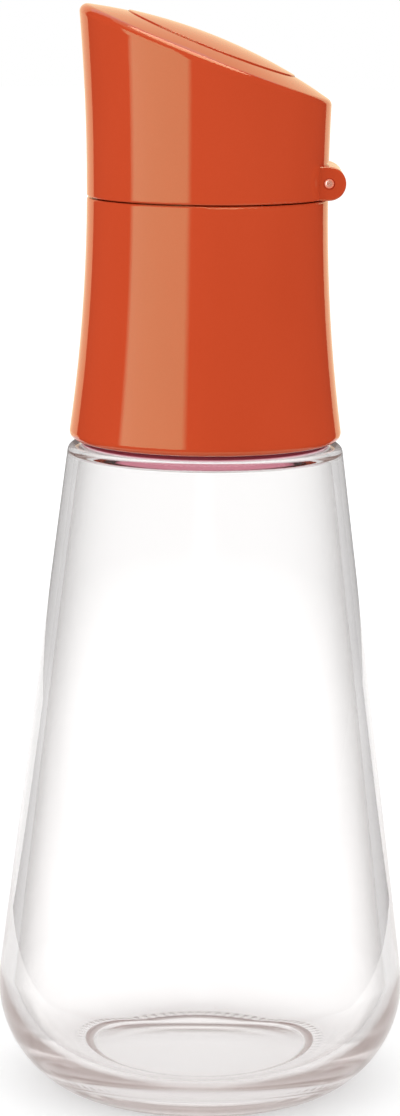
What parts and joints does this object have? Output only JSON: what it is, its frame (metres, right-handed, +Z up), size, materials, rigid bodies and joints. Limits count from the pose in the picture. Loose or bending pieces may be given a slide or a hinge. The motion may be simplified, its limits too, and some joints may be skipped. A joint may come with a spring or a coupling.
{
  "type": "dressing bottle",
  "caption": "Clear flared glass bottle with a waisted screw cap; the slanted lid of the cap turns on a cross pin and seals a pouring spout.",
  "frame": {"origin": "centre of the base, on the surface that the bottle stands on", "axes": "+Z up along the bottle; +X towards the lid hinge; -X towards the high tip of the lid; the hinge pin lies along Y"},
  "size_m": [0.072, 0.0718, 0.1898],
  "materials": {
    "glass": "clear polished",
    "orange_plastic": "gloss",
    "white_plastic": "satin",
    "rose_silicone": "satin",
    "clear_silicone": "satin",
    "steel": "polished"
  },
  "bodies": {
    "bottle": {"glass_bottle": "glass", "shoulder_gasket": "rose_silicone"},
    "washer": {"neck_gasket": "clear_silicone"},
    "cap": {"collar": "orange_plastic", "thread_insert": "white_plastic", "pour_spout": "white_plastic"},
    "lid": {"lid_shell": "orange_plastic", "seal_carrier": "white_plastic", "spout_seal": "clear_silicone", "top_disc": "orange_plastic", "hinge_pin": "steel"}
  },
  "joints": [
    {"name": "cap_rise", "type": "slide", "parent": "bottle", "child": "washer", "axis": [0, 0, 1], "range_m": [0, 0.0095]},
    {"name": "cap_turn", "type": "hinge", "parent": "washer", "child": "cap", "pos_m": [0, 0, 0.136], "axis": [0, 0, 1], "range_deg": [0, 810]},
    {"name": "lid_hinge", "type": "hinge", "parent": "cap", "child": "lid", "pos_m": [0.02063, 0, 0.16005], "axis": [0, 1, 0], "range_deg": [0, 170]}
  ],
  "couplings": [
    {"joint": "cap_rise", "follows": "cap_turn", "m_per_rad": 0.00066845}
  ]
}
